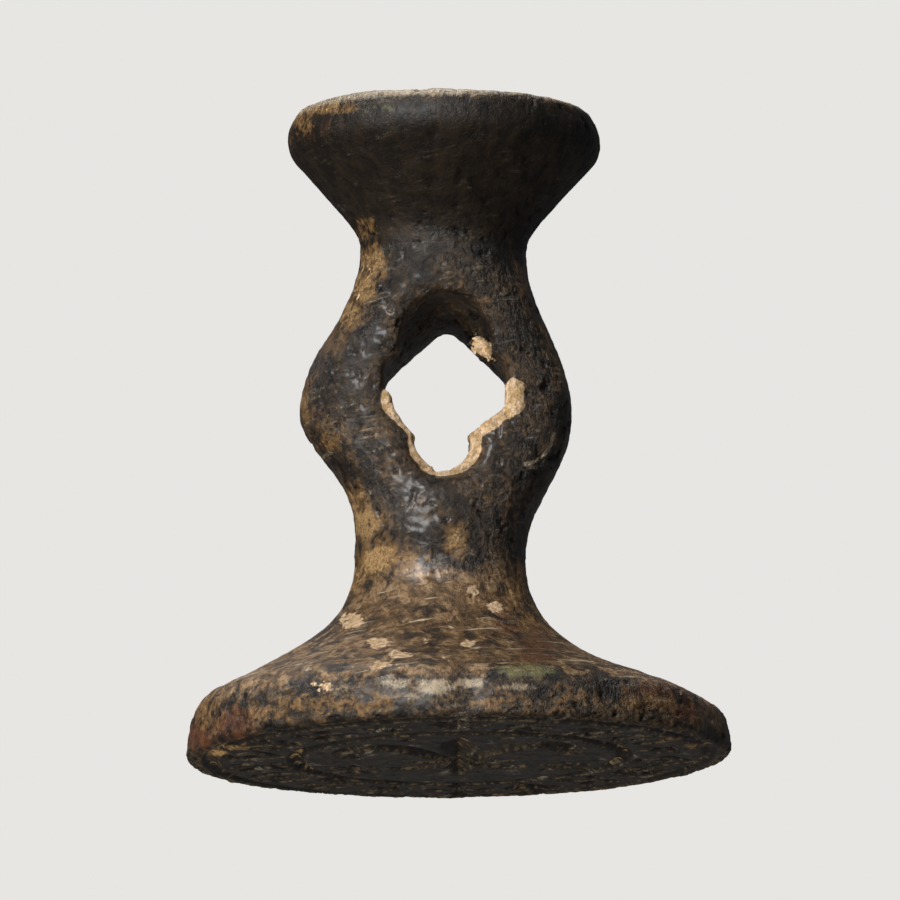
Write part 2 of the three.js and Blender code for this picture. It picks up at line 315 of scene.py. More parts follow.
# Old bronze, read from the skin's own hollows and from the masks painted on each piece. A look gives
# the engraved face's two colours, the amounts of specks, of dirt packed in the cuts and of bare wear,
# the roughness of its gloss, its wax, how far it is darkened, its relief in millimetres and its shine.
def makeBronze(name, look):
    material = bpy.data.materials.new(name)
    g = emptyGraph(material)
    place = g.scaled(g.add("ShaderNodeTexCoord", None, None, out=3), 1 / millimetre)
    mask = {title: g.add("ShaderNodeAttribute", {"attribute_name": title}, None, out=2)
            for title in ("hollow", "cut", "crust", *maskNames)}
    pattern = {title: g.noise(place, *values) for title, values in patterns.items()}
    broad, cloud, speck, grain = pattern.values()
    x, y, z = g.split(place)
    # Turning marks run round the stem, faint streaks run up it, and scratches cross both.
    turned = g.noise(g.join(x * 0.3, y * 0.3, z * 2.6), 1.3, 5.0, 0.7, 0.5)
    streak = g.noise(g.join(x * 1.5, y * 1.5, z * 0.16), 1.0, 3.0, 0.55)
    scratch = g.noise(g.join(x * 0.22 + z * 0.6, y * 0.22, z * 4.2 - x * 0.7), 1.2, 2.0, 0.5, 0.2)

    # The patches of a mask, made ragged by shares of the patterns.
    def patches(title, low, high, **shares):
        total = mask[title]
        for kind, share in shares.items():
            total = total + (pattern[kind] - 0.5) * share
        return g.step(total, low, high)

    # The stem is black to brown, the flared back brown to tan, the small die's flared underside near black as
    # painted shade, and the engraved faces slate or ash.
    dark = g.mixColour(g.step(cloud, 0.4, 0.54), patina["black"], patina["umber"])
    dark = g.lay(dark, "bronze", g.step(broad, 0.46, 0.58) * g.step(speck, 0.42, 0.56))
    dark = g.lay(dark, "gold", g.step(speck, 0.57, 0.65) * g.step(broad, 0.42, 0.55) * look["specks"])
    dark = g.lay(dark, "tan", g.step(grain, 0.62, 0.7) * g.step(cloud, 0.5, 0.58) * look["specks"])
    warm = g.mixColour(g.step(cloud, 0.4, 0.56), patina["bronze"], patina["ochre"])
    warm = g.lay(warm, "umber", g.step(broad, 0.52, 0.42) * g.step(cloud, 0.56, 0.44))
    warm = g.lay(warm, "umber", g.step(speck, 0.46, 0.38) * 0.7)
    warm = g.lay(warm, "tan", g.step(cloud, 0.51, 0.58) * g.step(speck, 0.46, 0.55))
    warm = g.lay(warm, "glint", g.step(scratch, 0.63, 0.7) * g.step(broad, 0.44, 0.56))
    tone = g.mixColour(patches("warm", 0.25, 0.75, cloud=0.9), dark, warm)
    # Under the small die the flare is painted near black with faint streaks: painted shade.
    soot = g.mixColour(g.step(streak, 0.42, 0.66), patina["black"], patina["soot"])
    soot = g.lay(soot, "umber", g.step(cloud, 0.44, 0.62) * 0.3)
    tone = g.mixColour(mask["shade"], tone, soot)
    first, second = (patina[title] for title in look["ground"])
    ground = g.mixColour(g.step(cloud * 0.5 + speck * 0.5, 0.42, 0.58), first, second)
    tone = g.mixColour(mask["face"], tone, ground)
    tone = g.lay(tone, "rust", patches("rust", 0.3, 0.8, cloud=1.4) * 0.8)
    # Cuts are painted black by their depth: painted shade in the recesses.
    tone = g.lay(tone, "black", g.step(mask["cut"], 0.15, 0.5) * 0.7)

    # Soil in two tones over a darker stain, green stains, pale spots, crust, and dirt in the cuts.
    mask["soil"] = mask["soil"] - (mask["shade"] + mask["face"]) * 0.4
    stain = patches("soil", 0.15, 0.65, cloud=1.8, speck=1.3, grain=0.5)
    tone = g.lay(tone, "gold", stain * 0.7)
    tone = g.lay(tone, "umber", stain * g.step(speck, 0.5, 0.4) * 0.6)
    dirt = patches("soil", 0.6, 0.95, cloud=1.8, speck=1.3, grain=0.5)
    crumbs = g.mixColour(g.step(grain, 0.38, 0.62), patina["gold"], patina["brass"])
    tone = g.mixColour(dirt * 0.9, tone, crumbs)
    tone = g.lay(tone, "black", look["dusk"])
    tone = g.lay(tone, "moss", patches("moss", 0.4, 0.8, cloud=1.2, speck=1.2, grain=0.6) * 0.65)
    spot = patches("pale", 0.5, 0.66, cloud=1.6, speck=1.2, grain=0.3) * g.step(mask["pale"], 0.1, 0.3)
    chalk = patches("crust", 0.36, 0.62, grain=0.5).calc("MAXIMUM", spot)
    pale = g.mixColour(g.step(speck, 0.38, 0.6), patina["brass"], patina["sand"])
    pale = g.lay(pale, "ochre", g.step(grain, 0.5, 0.36) * 0.6)
    tone = g.mixColour(chalk, tone, pale)
    deep = patches("cut", 0.68, 1.2, cloud=2.4, speck=1.6)
    lips = g.step(mask["cut"], 0.02, 0.06) * g.step(mask["cut"], 0.24, 0.12) * g.step(speck, 0.46, 0.6)
    packed = deep.calc("MAXIMUM", lips * 0.3) * look["packing"]
    crumbs = g.mixColour(g.step(speck, 0.38, 0.6), patina["gold"], patina["brass"])
    tone = g.mixColour(packed, tone, crumbs)

    # Ridges are worn to bare metal, and hollows stay dark. The marks on the large die's shoulder and round
    # the small die's rim are partly bare metal and partly a painted highlight.
    worn = patches("hollow", 0.3, 0.1, grain=0.4) * g.step(scratch, 0.5, 0.68)
    worn = worn.calc("MAXIMUM", patches("edge", 0.35, 0.8, speck=0.9, grain=0.7))
    worn = worn * (1 - chalk) * (1 - dirt) * (1 - mask["shade"] * 0.8) * look["wear"]
    tone = g.lay(tone, "glint", worn)
    tone = g.lay(tone, "black", g.step(mask["hollow"], 0.5, 0.8) * (1 - chalk) * 0.65)

    rough = g.mixValue(g.step(speck, 0.35, 0.65), look["gloss"], look["gloss"] + 0.14)
    rough = g.mixValue(mask["polish"], rough, 0.3) + mask["shade"] * 0.1
    matt = dirt.calc("MAXIMUM", chalk).calc("MAXIMUM", packed)
    rough = g.mixValue(matt, rough, 0.85)
    height = grain * 0.28 + speck * 0.9 + turned * mask["warm"] * 0.25 + cloud * 0.7
    height = height * (1 - mask["shade"] * 0.6) * (1 - mask["face"] * 0.5) * (1 - mask["polish"] * 0.75)
    relief = {"Strength": 0.95, "Distance": look["relief"] * millimetre, "Height": height}
    shader = g.add("ShaderNodeBsdfPrincipled", None, {
        "Base Color": tone, "Roughness": rough, "Metallic": (1 - matt) * (0.12 + worn * 0.5),
        "Normal": g.add("ShaderNodeBump", None, relief), "Specular IOR Level": look["shine"],
        "Coat Weight": (1 - matt) * (1 - mask["shade"] * 0.7) * look["wax"], "Coat Roughness": 0.3})
    g.node("ShaderNodeOutputMaterial", None, [shader])
    return material


# The worn skin of the casting. Where a piece is sunk it is pressed inwards only, so that the object
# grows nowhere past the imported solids' box; elsewhere the skin swells as much as it sinks.
def makeSkinTree():
    g = Shaper("castSkin", {
        "Broad": ("Float", casting["broadDent"]), "Dent": ("Float", casting["skinDent"]),
        "Grain": ("Float", casting["skinGrain"]), "Pit": ("Float", casting["skinPit"]),
        "Shift": ("Float", casting["seed"]), "Material": ("Material", None)})
    spot = g.vector("ADD", g.place, g.join(g["Shift"], 0.0, 0.0))
    broad, dent, grain, pit = (g.noise(spot, *casting[kind + "Noise"])
                               for kind in ("broad", "dent", "grain", "pit"))
    pit = g.step(pit, *casting["pitFade"])
    sunk = g.named("sunk")
    middle = (g["Broad"] + g["Dent"] + g["Grain"]) * 0.5 + g["Pit"] * 0.12
    depth = broad * g["Broad"] + dent * g["Dent"] + grain * g["Grain"] + pit * g["Pit"]
    depth = g.named("skin") * (depth - (1 - sunk * 0.35) * middle)
    depth = depth.calc("MAXIMUM", (sunk - 1) * 5)
    offset = g.scaled(g.add("GeometryNodeInputNormal"), -depth)
    hollow = g.store(g["Mesh"], "hollow", dent * 0.5 + pit * 0.5 + grain * 0.3 - 0.1)
    moved = g.add("GeometryNodeSetPosition", None, {"Geometry": hollow, "Offset": offset})
    g.close(moved, g["Material"])
    return g


# Trims a mesh at a plane and closes it there with a flat, sharp-edged cap.
def trim(mesh, point, direction):
    b = bmesh.new()
    b.from_mesh(mesh)
    parts = b.verts[:] + b.edges[:] + b.faces[:]
    bmesh.ops.bisect_plane(b, geom=parts, plane_co=point, plane_no=direction, clear_outer=True,
                           dist=1e-5)
    rim = [edge for edge in b.edges if edge.is_boundary]
    cap = bmesh.ops.triangle_fill(b, edges=rim, use_beauty=True, normal=direction)
    for face in cap["geom"]:
        if isinstance(face, bmesh.types.BMFace):
            face.smooth = False
    for edge in rim:
        edge.smooth = False
    b.to_mesh(mesh)
    b.free()


# The plane of a seam: a point on it, and the stem's own direction.
def seam(height):
    matrix = stemMatrix(height)
    return matrix.translation, matrix.to_3x3() @ Vector((0, 0, 1))


# Presses the skin in, trims the seams, and sets a finished piece in metres.
def finishPiece(name, mesh, material, seams, nodeName):
    mesh.shade_smooth()
    rough = skinTree.run(newObject(name + "Rough", mesh), {"Material": material})
    rough.shade_smooth()
    for height, side in seams:
        point, direction = seam(height)
        trim(rough, point, direction * side)
    paintMasks(rough)
    rough.transform(Matrix.Scale(millimetre, 4))
    rough.materials.clear()
    rough.materials.append(material)
    rough.name = name
    piece = newObject(name, rough)
    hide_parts(nodeName)
    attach(piece, "root")
    points = pointsOf(rough)
    print(name, len(points), "points, from", points.min(axis=0).round(5), "to", points.max(axis=0).round(5))


# Small marks in a row along an arc, between two bearings below its middle's level, in radians.
def arcOfMarks(middleAcross, middleUp, radius, first, last, count):
    return [(middleAcross + radius * math.cos(a), middleUp - radius * math.sin(a), 0.1, 0.1, 1.0)
            for a in np.linspace(first, last, count)]


# Marks on the front, where they show in the front view: across, up, both half sizes and strength,
# in millimetres from the large face's middle.
frontMarks = {
    "soil": [
        (-4.8, 27.0, 0.6, 0.7, 0.8), (-4.4, 25.5, 0.75, 0.85, 1.0), (-5.0, 24.1, 0.7, 0.95, 0.9),
        (-5.6, 22.8, 0.6, 0.8, 0.8), (-6.4, 21.5, 0.5, 0.8, 0.5), (3.3, 24.7, 0.4, 1.0, 0.55),
        (4.4, 21.5, 0.4, 1.1, 0.5), (-5.3, 12.8, 0.7, 0.95, 0.8), (-4.8, 11.9, 0.8, 0.8, 0.95),
        (-4.2, 10.2, 0.95, 0.85, 1.0), (-5.3, 9.2, 0.6, 0.8, 0.8), (-2.5, 10.2, 0.6, 0.5, 0.75),
        (-0.1, 11.3, 0.5, 0.6, 0.95), (-1.6, 10.3, 0.4, 0.4, 0.6), (1.9, 12.8, 0.6, 0.7, 0.35),
        (3.0, 8.6, 0.5, 1.1, 0.65), (3.5, 7.0, 0.5, 0.6, 0.6), (-12.6, 2.4, 0.9, 0.9, 0.4),
        (-9.6, 2.4, 1.2, 0.5, 0.4), (-4.7, 3.0, 1.5, 0.5, 0.4), (5.5, 3.2, 1.6, 0.5, 0.4),
        (9.8, 3.0, 1.4, 0.5, 0.6), (12.6, 2.0, 0.8, 0.7, 0.5), (-8.4, 31.6, 1.2, 0.6, 0.5),
        (-8.0, 18.4, 0.35, 1.2, 0.6), (-6.6, 16.2, 0.6, 0.6, 0.4), (5.2, 19.6, 0.4, 0.9, 0.45),
        (-7.4, 3.0, 1.2, 0.4, 0.5), (1.8, 3.1, 1.8, 0.4, 0.4), (-12.75, -0.3, 0.22, 0.45, 1.3),
        (-12.2, 0.35, 0.5, 0.2, 1.3), (-11.2, 0.7, 0.7, 0.16, 1.15), (-12.3, -0.9, 0.3, 0.3, 1.1),
        (12.9, 0.15, 0.35, 0.3, 1.15), (12.0, 0.75, 0.6, 0.15, 1.1), (10.9, 1.15, 0.7, 0.12, 1.0),
        (-7.9, 32.3, 0.6, 0.5, 0.95), (-6.4, 33.1, 1.5, 0.28, 0.92),
    ],
    "pale": [
        (-5.5, 7.1, 0.6, 0.36, 1.0), (-4.1, 6.0, 0.5, 0.26, 1.0), (0.45, 6.0, 0.38, 0.17, 0.9),
        (1.8, 7.8, 0.38, 0.24, 0.9), (0.8, 8.6, 0.35, 0.25, 0.7), (-2.9, 5.5, 0.7, 0.2, 0.65),
        (-1.7, 6.1, 0.25, 0.14, 0.6), (-3.6, 4.95, 0.9, 0.2, 0.65), (-1.0, 5.2, 0.6, 0.15, 0.55),
        (-1.7, 7.2, 0.5, 0.25, 0.45), (-0.3, 7.0, 0.4, 0.25, 0.45), (-7.0, 3.9, 0.6, 0.35, 0.6),
        (-4.6, 25.0, 0.3, 0.4, 0.5), (-5.2, 23.6, 0.25, 0.35, 0.5), (-0.1, 11.4, 0.25, 0.3, 0.5),
    ],
    "rust": [
        (3.9, 5.7, 1.1, 0.8, 0.7), (2.5, 6.9, 0.8, 0.6, 0.6), (-1.7, 27.3, 0.9, 0.7, 0.4),
        (-7.4, 32.0, 1.7, 0.7, 0.4), (-7.0, 18.2, 0.9, 1.6, 0.4), (10.5, 3.6, 2.2, 0.6, 0.6),
        (-11.4, 1.9, 1.4, 0.9, 0.7), (1.5, 3.8, 2.0, 0.4, 0.3), (-13.2, 1.2, 0.8, 0.9, 0.7),
        (11.8, 2.6, 1.4, 0.6, 0.7), (-8.1, 19.0, 0.6, 0.9, 0.6),
    ],
    "moss": [(-4.3, 33.1, 1.4, 0.3, 0.45), (3.4, 4.7, 1.5, 0.32, 0.95), (-6.4, 4.8, 1.4, 0.25, 0.45),
             (-0.9, 3.3, 2.4, 0.3, 0.45)],
    "edge": [
        # On the large die's shoulder: partly bare wear, partly a painted highlight.
        (-1.2, 3.9, 0.9, 0.4, 0.85), (-3.2, 4.1, 0.8, 0.3, 0.7), (0.6, 4.1, 0.9, 0.25, 0.75),
        (2.9, 3.9, 0.9, 0.22, 0.65), (-6.0, 3.8, 1.2, 0.25, 0.5), (-2.3, 3.4, 0.7, 0.2, 0.6),
        # A curved scratch low on the right of the bow.
        *arcOfMarks(3.1, 16.75, 1.75, 0.1, 1.4, 14),
    ],
    "polish": [(-1.7, 9.6, 1.5, 0.9, 1.0), (-1.2, 4.0, 2.2, 0.4, 0.5), (-6.2, 15.6, 1.2, 1.2, 0.7),
               (-4.9, 21.0, 0.8, 2.4, 0.5), (-3.0, 13.2, 1.4, 1.2, 0.6), (1.0, 8.2, 1.4, 0.6, 0.5)],
}

# Marks on the sides and the back: x, y, z, radius and strength.
roundMarks = {
    "soil": [
        (3.6, 2.6, 25.9, 1.8, 0.8), (-3.2, 3.4, 12.0, 1.7, 0.9), (5.6, 2.2, 20.0, 1.6, 0.6),
        (-9.5, 3.6, 4.4, 2.2, 0.6), (7.6, 6.8, 3.9, 2.4, 0.6), (1.2, 5.0, 8.0, 1.5, 0.7),
        (9.6, -1.5, 4.0, 1.4, 0.5), (-6.8, 6.8, 4.2, 1.4, 0.7), (4.0, 3.6, 15.0, 1.6, 0.6),
        (-1.8, 3.6, 27.0, 1.4, 0.7), (-12.6, 3.8, 2.0, 2.2, 0.6), (2.0, 12.8, 1.8, 2.6, 0.7),
    ],
    "pale": [(6.9, 5.4, 4.9, 0.7, 0.9), (-5.0, 5.2, 5.8, 0.6, 0.9), (2.2, 6.4, 5.8, 0.5, 0.9),
             (-8.6, -1.2, 4.6, 0.6, 0.8), (7.4, -3.2, 4.4, 0.5, 0.7), (-1.6, 8.8, 4.6, 0.7, 0.8)],
    "rust": [(5.0, 6.0, 5.2, 2.4, 0.6), (-7.0, 2.0, 5.4, 2.0, 0.6), (-3.9, 2.2, 14.4, 1.8, 0.5)],
    "moss": [(6.9, 5.1, 4.7, 1.3, 0.9), (4.9, 3.4, 32.6, 1.3, 0.7), (4.2, -0.4, 33.2, 1.2, 0.6),
             (-3.0, 5.4, 7.2, 1.3, 0.6), (-9.8, 7.4, 3.4, 1.6, 0.6)],
    "edge": [],
    "polish": [(1.5, 4.6, 9.4, 1.6, 0.9), (4.5, 3.0, 16.0, 1.6, 0.7), (-6.0, 2.6, 19.0, 1.6, 0.7)],
}
maskNames = (*frontMarks, "warm", "shade", "face")


# Places as the front view shows them, from ten degrees below.
def frontView(points):
    rise, roll = math.radians(-studio["elevation"]), math.radians(studio["rollDegrees"])
    x, y, z = points.T
    up = z * math.cos(rise) - y * math.sin(rise)
    return x * math.cos(roll) - up * math.sin(roll), x * math.sin(roll) + up * math.cos(roll)


# How strongly each point is marked. The front's marks end halfway round, and the others don't.
def paintMarks(name, points):
    across, up = frontView(points)
    near = smooth(points[:, 1], 0.8, -0.6)
    total = np.zeros(len(points))
    for u, v, wide, high, strength in frontMarks[name]:
        away = ((across - u) / wide) ** 2 + ((up - v) / high) ** 2
        total = np.maximum(total, near * strength * np.exp(-away ** 1.5 * 0.5))
    for x, y, z, radius, strength in roundMarks[name]:
        away = np.linalg.norm(points - (x, y, z), axis=1) / radius
        total = np.maximum(total, strength * np.exp(-away ** 3))
    return total


# Where the masks that follow a shape fade in, in millimetres: from one height or radius to another.
fades = {
    "back": (11.5, 7.0),            # warm patina, from the lower neck down
    "edgeHeight": (3.1, 2.0),       # and less of it on the large die's edge
    "edgeRadius": (12.4, 13.2),
    "flare": (23.2, 27.8),          # painted shade under the small die, from the top of the bow
    "largeFaceHeight": (1.1, 0.2),
    "largeFaceRadius": (14.0, 13.5),
    "smallFaceHeight": (6.3, 6.6),
    "smallFaceRadius": (7.1, 6.7),
    "rimRadius": (6.7, 7.1),        # the small die's rubbed rim, partly a painted highlight
    "rimLeft": (4.5, -0.5),         # it reaches lower on the left of the front
    "rimFront": (2.0, -2.0),
}
# The small die's rim is rubbed bare and partly painted as a highlight.
rimWearAndHighlight = {"height": 7.0, "leftHeight": 6.72, "strength": 0.72}


def fade(values, name):
    return smooth(values, *fades[name])


# Warm marks the flared back; shade marks the small die's flared underside, painted near black as painted
# shade; face marks the engraved ones.
def paintMasks(mesh):
    points = pointsOf(mesh)
    for name in ("cut", "crust"):
        if name not in mesh.attributes:
            setAttribute(mesh, name, np.zeros(len(points)))
    x, y, z = points.T
    radius = np.hypot(x, y)
    # The small die is read in its own frame, upright on the stem.
    own = np.c_[points, np.ones(len(points))] @ np.array(stemMatrix(upperNeckHeight).inverted()).T
    across, forward, up = own.T[:3]
    ownRadius = np.hypot(across, forward)
    atLeft = fade(across, "rimLeft") * fade(forward, "rimFront")
    start = mixed(rimWearAndHighlight["height"], rimWearAndHighlight["leftHeight"], atLeft)
    rim = smooth(up, start - 0.35, start + 0.45) * fade(ownRadius, "rimRadius")
    for name in frontMarks:
        total = paintMarks(name, points)
        if name == "edge":
            total = np.maximum(total, rim * rimWearAndHighlight["strength"])
        setAttribute(mesh, name, total)
    onEdge = fade(z, "edgeHeight") * fade(radius, "edgeRadius")
    setAttribute(mesh, "warm", fade(z, "back") * mixed(1, 0.3, onEdge))
    setAttribute(mesh, "shade", fade(z, "flare") * smooth(up, start + 0.3, start - 0.4))
    largeFace = fade(z, "largeFaceHeight") * fade(radius, "largeFaceRadius")
    smallFace = fade(up, "smallFaceHeight") * fade(ownRadius, "smallFaceRadius")
    setAttribute(mesh, "face", np.maximum(largeFace, smallFace))


# The engraver's strokes as chains of (across, up, half width) in shares of a motif's reach. Paired
# chains are cut on both sides of the middle, turned ones stand round it, and one point is a pellet.
lilyShares = {
    "chains": [
        [(0, 1, 0.02), (0, 0.71, 0.13), (0, 0.45, 0.17), (0, 0.11, 0.11), (0, -0.18, 0.06)],
        [(0, -0.28, 0.06), (0, -0.55, 0.12), (0, -0.91, 0.02)],
    ],
    "paired": [
        [(0.08, -0.14, 0.06), (0.26, 0.2, 0.1), (0.48, 0.51, 0.15), (0.69, 0.57, 0.17),
         (0.86, 0.35, 0.13), (0.88, 0.11, 0.07), (0.75, 0.02, 0.02)],
        [(0.05, -0.31, 0.05), (0.25, -0.49, 0.09), (0.46, -0.54, 0.08), (0.55, -0.43, 0.02)],
        [(0, -0.22, 0.07), (0.38, -0.22, 0.06)],
        [(0.38, 0.92, 0.065)],
    ],
}
motifShares = {
    "lozenge": {
        "chains": [[(0, 0, 0.31)]],
        "paired": [[(0, 1, 0.16), (0.87, 0, 0.28), (0, -1, 0.16)]],
    },
    "rosette": {"turned": [(0, 0.17, 0.12), (0, 0.67, 0.37), (0, 1, 0.23)], "count": 4, "first": 45},
    "sprig": {
        "chains": [[(0, -1, 0.31), (0, 0.2, 0.13)], [(0, 0.68, 0.37)]],
        "paired": [[(0.63, 0.13, 0.33)], [(0.8, -0.93, 0.29), (0.07, -0.6, 0.11)]],
    },
    "star": {"turned": [(0, 0, 0.28), (0, 1, 0.07)], "count": 6, "first": 0},
    "fleuret": {
        "chains": [[(0, 1, 0.07), (0, 0.4, 0.32), (0, -0.33, 0.13), (0, -1, 0.29)]],
        "paired": [[(0.13, -0.33, 0.13), (0.6, 0.4, 0.29), (0.97, -0.07, 0.07)],
                   [(0.07, -0.5, 0.12), (0.7, -0.93, 0.23)]],
    },
    "leaf": {
        "chains": [[(0, -1, 0.09), (0, 1, 0.19)]],
        "paired": [[(0.03, -0.67, 0.11), (0.73, -0.4, 0.28)], [(0.03, -0.2, 0.11), (0.9, 0.23, 0.31)],
                   [(0.03, 0.33, 0.11), (0.67, 0.83, 0.25)]],
    },
    "crescents": {
        "chains": [[(0, 0, 0.31)]],
        "paired": [[(0.2, 1, 0.07), (0.8, 0.4, 0.25), (0.8, -0.4, 0.25), (0.2, -1, 0.07)]],
    },
    "palmette": {
        "chains": [[(0, -0.93, 0.2), (0, 1, 0.27)]],
        "paired": [[(0.07, -0.8, 0.11), (0.57, 0.8, 0.25)], [(0.1, -0.87, 0.11), (0.93, 0.27, 0.24)]],
    },
    "cross": {"turned": [(0, 0.07, 0.13), (0, 0.47, 0.17), (0, 0.83, 0.44)], "count": 4, "first": 0},
}


# All the chains of a motif, in millimetres from its middle.
def chainsOf(motif, reach):
    chains = list(motif.get("chains", []))
    for chain in motif.get("paired", []):
        chains += [chain, [(-u, v, w) for u, v, w in chain]]
    for i in range(motif.get("count", 0)):
        a = math.radians(motif["first"] + 360 * i / motif["count"])
        chains.append([(u * math.cos(a) - v * math.sin(a), u * math.sin(a) + v * math.cos(a), w)
                       for u, v, w in motif["turned"]])
    chains = [chain if len(chain) > 1 else chain * 2 for chain in chains]
    return [[(u * reach, v * reach, w * reach) for u, v, w in chain] for chain in chains]


# The small fleurets on both sides of the lily's foot, in shares of its reach.
besideFoot = {"across": 0.83, "up": -0.5, "reach": 0.2}


def deviceOf(reach):
    across, up = besideFoot["across"] * reach, besideFoot["up"] * reach
    side = [[(u + across, v + up, w) for u, v, w in chain]
            for chain in chainsOf(motifShares["fleuret"], besideFoot["reach"] * reach)]
    return chainsOf(lilyShares, reach) + side + [[(-u, v, w) for u, v, w in chain] for chain in side]


# Lays the motifs round a ring, feet towards its middle, each a little askew as a hand cuts them.
def makeBandTree():
    size = engravedDie
    places = len(size["bandMotifs"])
    g = Shaper("engravedBand", {
        "Motifs": ("Collection", None), "Places": ("Int", places), "Radius": ("Float", size["bandRadius"]),
        "Start": ("Float", math.pi / places), "Askew": ("Float", size["askew"]),
        "Uneven": ("Float", size["uneven"]), "Seed": ("Int", size["seed"]), "Material": ("Material", None)},
        hasMesh=False)
    ring = g.add("GeometryNodeMeshCircle", None, {"Vertices": g["Places"], "Radius": g["Radius"]})
    turned = {"Geometry": ring, "Rotation": g.join(0.0, 0.0, g["Start"])}
    ring = g.add("GeometryNodeTransform", None, turned)
    info = g.add("GeometryNodeCollectionInfo", None, {
        "Collection": g["Motifs"], "Separate Children": True, "Reset Children": True})
    x, y, z = g.split(g.place)
    askew, uneven = (g.add("FunctionNodeRandomValue", None, {2: -1.0, 3: 1.0, "Seed": seed}, out=1)
                     for seed in (g["Seed"], g["Seed"] + 1))
    turn = y.calc("ARCTAN2", x) - math.pi / 2 + askew * g["Askew"]
    swell = 1 + uneven * g["Uneven"]
    placed = g.add("GeometryNodeInstanceOnPoints", None, {
        "Points": ring, "Instance": info, "Pick Instance": True,
        "Instance Index": g.add("GeometryNodeInputIndex"), "Rotation": g.join(0.0, 0.0, turn),
        "Scale": g.join(swell, swell, 1.0)})
    g.close(placed, g["Material"])
    return g


def chainObject(name, chains):
    points = [(u, v, 0) for chain in chains for u, v, w in chain]
    edges, start = [], 0
    for chain in chains:
        edges += [(start + i, start + i + 1) for i in range(len(chain) - 1)]
        start += len(chain)
    mesh = meshOf(name, points, [], edges)
    setAttribute(mesh, "width", [w for chain in chains for u, v, w in chain])
    return bpy.data.objects.new(name, mesh)


# Runs the band tree on a row of motifs and reads its strokes back as ends and half widths.
def bandStrokes(name, size):
    group = bpy.data.collections.new(name)
    for i, title in enumerate(size["bandMotifs"]):
        chains = chainsOf(motifShares[title], size["motifReach"])
        group.objects.link(chainObject(f"{name}{i:03d}", chains))
    mesh = bandTree.run(newObject(name + "Ring", bpy.data.meshes.new(name)), {"Motifs": group})
    points, widths = pointsOf(mesh), getAttribute(mesh, "width")
    strokes = [(points[a, :2], points[b, :2], widths[a], widths[b])
               for a, b in (edge.vertices for edge in mesh.edges)]
    for thing in list(group.objects):
        bpy.data.objects.remove(thing)
    bpy.data.collections.remove(group)
    return strokes


def plainStrokes(chains, lift, flip):
    strokes = []
    for chain in chains:
        for (ua, va, wa), (ub, vb, wb) in zip(chain, chain[1:]):
            strokes.append((np.array([ua, va * flip + lift]), np.array([ub, vb * flip + lift]), wa, wb))
    return strokes


# How deep the strokes are cut at each place: V-shaped, blunt at the bottom and worn at the lips.
def cutDepth(x, y, strokes, slope, deepest, lip):
    depth = np.full(len(x), -9.0)       # well outside the metal where no stroke is near
    for a, b, wa, wb in strokes:
        reach = max(wa, wb) + 0.3
        near = np.nonzero((x > min(a[0], b[0]) - reach) & (x < max(a[0], b[0]) + reach)
                          & (y > min(a[1], b[1]) - reach) & (y < max(a[1], b[1]) + reach))[0]
        along = b - a
        length = max(along @ along, 1e-9)
        share = np.clip(((x[near] - a[0]) * along[0] + (y[near] - a[1]) * along[1]) / length, 0, 1)
        away = np.hypot(x[near] - a[0] - share * along[0], y[near] - a[1] - share * along[1])
        depth[near] = np.maximum(depth[near], slope * (mixed(wa, wb, share) - away))
    worn = (depth + np.sqrt(depth ** 2 + lip ** 2)) / 2
    worn[depth < -1] = 0
    return deepest * np.tanh(worn / deepest)


# A ring groove, or a cabled one where notches is not 0.
def grooveDepth(x, y, ring):
    radius = np.hypot(x, y)
    angle = np.arctan2(y, x)
    wander = 0.05 * np.sin(angle * 3 + 1.0) + 0.03 * np.sin(angle * 7 + 2.0)
    away = np.abs(radius - ring["radius"] - wander)
    depth = ring["depth"] * np.clip(1.25 * (1 - away / (ring["width"] / 2)), 0, 1)
    twist = 1 - ring["ripple"] * (0.5 + 0.5 * np.sin(ring["notches"] * angle + radius * 9))
    return depth * twist


# Joins rows of points, each a ring or one middle point, into faces that look outwards.
def skinRows(name, rows):
    faces, lower = [], 0
    for row, nextRow in zip(rows, rows[1:]):
        n, m = len(row), len(nextRow)
        upper = lower + n
        count = max(n, m) if 1 in (n, m) else min(n, m)
        for j in range(count):
            k = (j + 1) % count
            if n == 1:
                faces.append((lower, upper + k, upper + j))
            elif m == 1:
                faces.append((lower + j, lower + k, upper))
            elif n == m:
                faces.append((lower + j, lower + k, upper + k, upper + j))
            elif m == 2 * n:
                a, b, c = upper + 2 * j, upper + 2 * j + 1, upper + (2 * j + 2) % m
                faces += [(lower + j, b, a), (lower + j, lower + k, b), (lower + k, c, b)]
            else:
                a, b, c = lower + 2 * j, lower + 2 * j + 1, lower + (2 * j + 2) % n
                faces += [(a, b, upper + j), (b, upper + k, upper + j), (b, c, upper + k)]
        lower = upper
    return meshOf(name, np.concatenate(rows), faces)


def circle(count):
    angle = np.arange(count) * 2 * math.pi / count
    return np.cos(angle), np.sin(angle)


def bezier(start, nearStart, nearEnd, end, share):
    rest = 1 - share
    return (rest ** 3 * start + 3 * rest ** 2 * share * nearStart
            + 3 * rest * share ** 2 * nearEnd + share ** 3 * end)


# A sweep from an upright tangent to a tangent of the given slope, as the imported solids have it.
def sweepProfile(start, end, slope, tension, shares):
    start, end = np.array(start), np.array(end)
    corner = np.array([start[0], end[1] - slope * (end[0] - start[0])])
    nearStart, nearEnd = mixed(start, corner, tension), mixed(end, corner, tension)
    return [bezier(start, nearStart, nearEnd, end, share) for share in shares]


